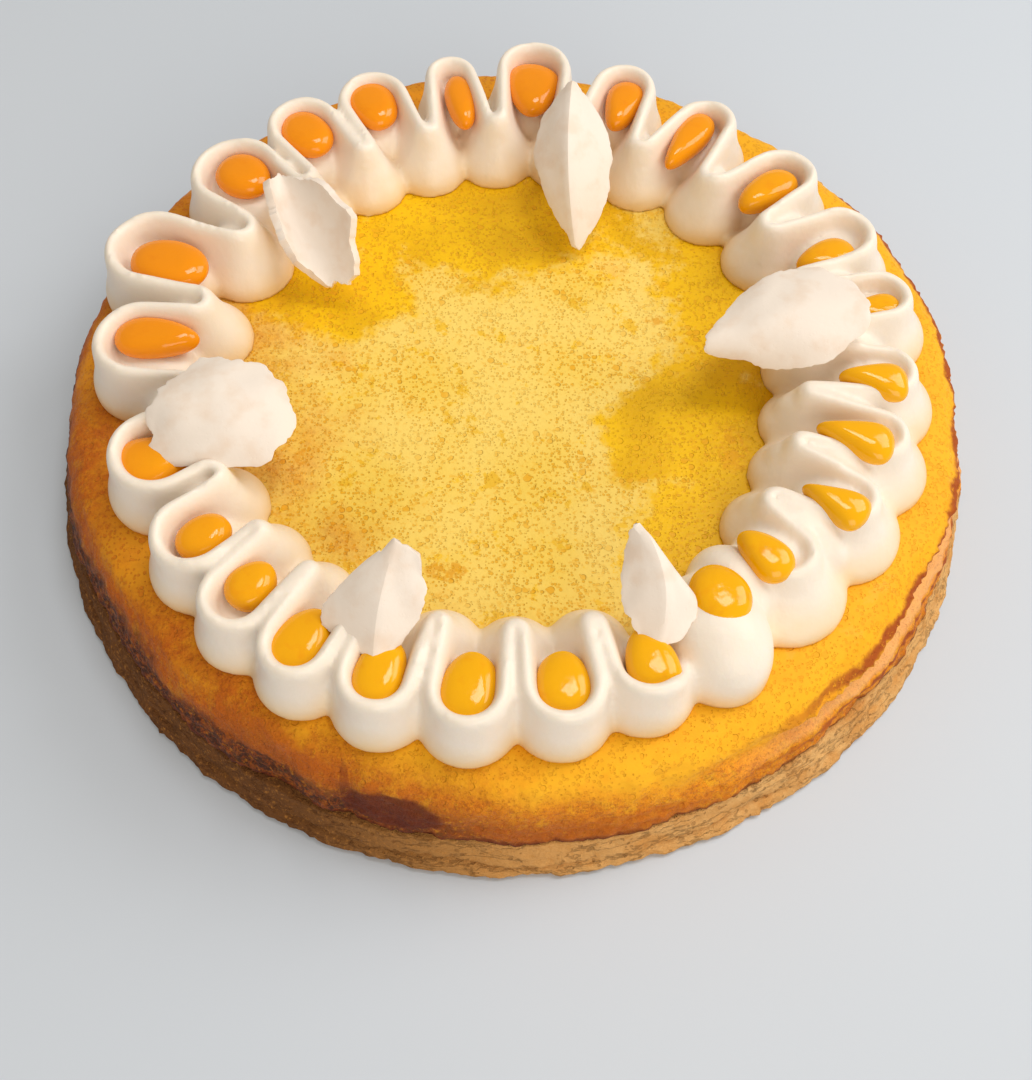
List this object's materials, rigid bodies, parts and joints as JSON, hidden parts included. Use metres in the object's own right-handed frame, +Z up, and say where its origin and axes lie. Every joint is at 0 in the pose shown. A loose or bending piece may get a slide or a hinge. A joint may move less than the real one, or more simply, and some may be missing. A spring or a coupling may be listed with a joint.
{
  "type": "baked cheesecake with piped cream ruffle",
  "caption": "Low round baked cheesecake on a crumb base, topped by a looped ring of whipped cream with curd drops and thin meringue shards.",
  "frame": {"origin": "middle of the cake's flat underside", "axes": "+Z up through the cake; -Y is the side nearest the picture's viewer"},
  "size_m": [0.2298, 0.2302, 0.0601],
  "materials": {
    "crumb": "crumbly, light brown",
    "baked_filling": "smooth baked skin, yellow to golden brown",
    "whipped_cream": "smooth, soft sheen",
    "curd": "glossy gel",
    "meringue": "dry, matt"
  },
  "bodies": {
    "root": {"crumb_base": "crumb", "baked_filling": "baked_filling", "cream_ruffle": "whipped_cream", "curd_drop_01": "curd", "curd_drop_02": "curd", "curd_drop_03": "curd", "curd_drop_04": "curd", "curd_drop_05": "curd", "curd_drop_06": "curd", "curd_drop_07": "curd", "curd_drop_08": "curd", "curd_drop_09": "curd", "curd_drop_10": "curd", "curd_drop_11": "curd", "curd_drop_12": "curd", "curd_drop_13": "curd", "curd_drop_14": "curd", "curd_drop_15": "curd", "curd_drop_16": "curd", "curd_drop_17": "curd", "curd_drop_18": "curd", "curd_drop_19": "curd", "curd_drop_20": "curd", "curd_drop_21": "curd", "curd_drop_22": "curd", "curd_drop_23": "curd", "curd_drop_24": "curd", "curd_drop_25": "curd", "meringue_back": "meringue", "meringue_left_back": "meringue", "meringue_left": "meringue", "meringue_front": "meringue", "meringue_front_right": "meringue", "meringue_right": "meringue"}
  },
  "joints": []
}
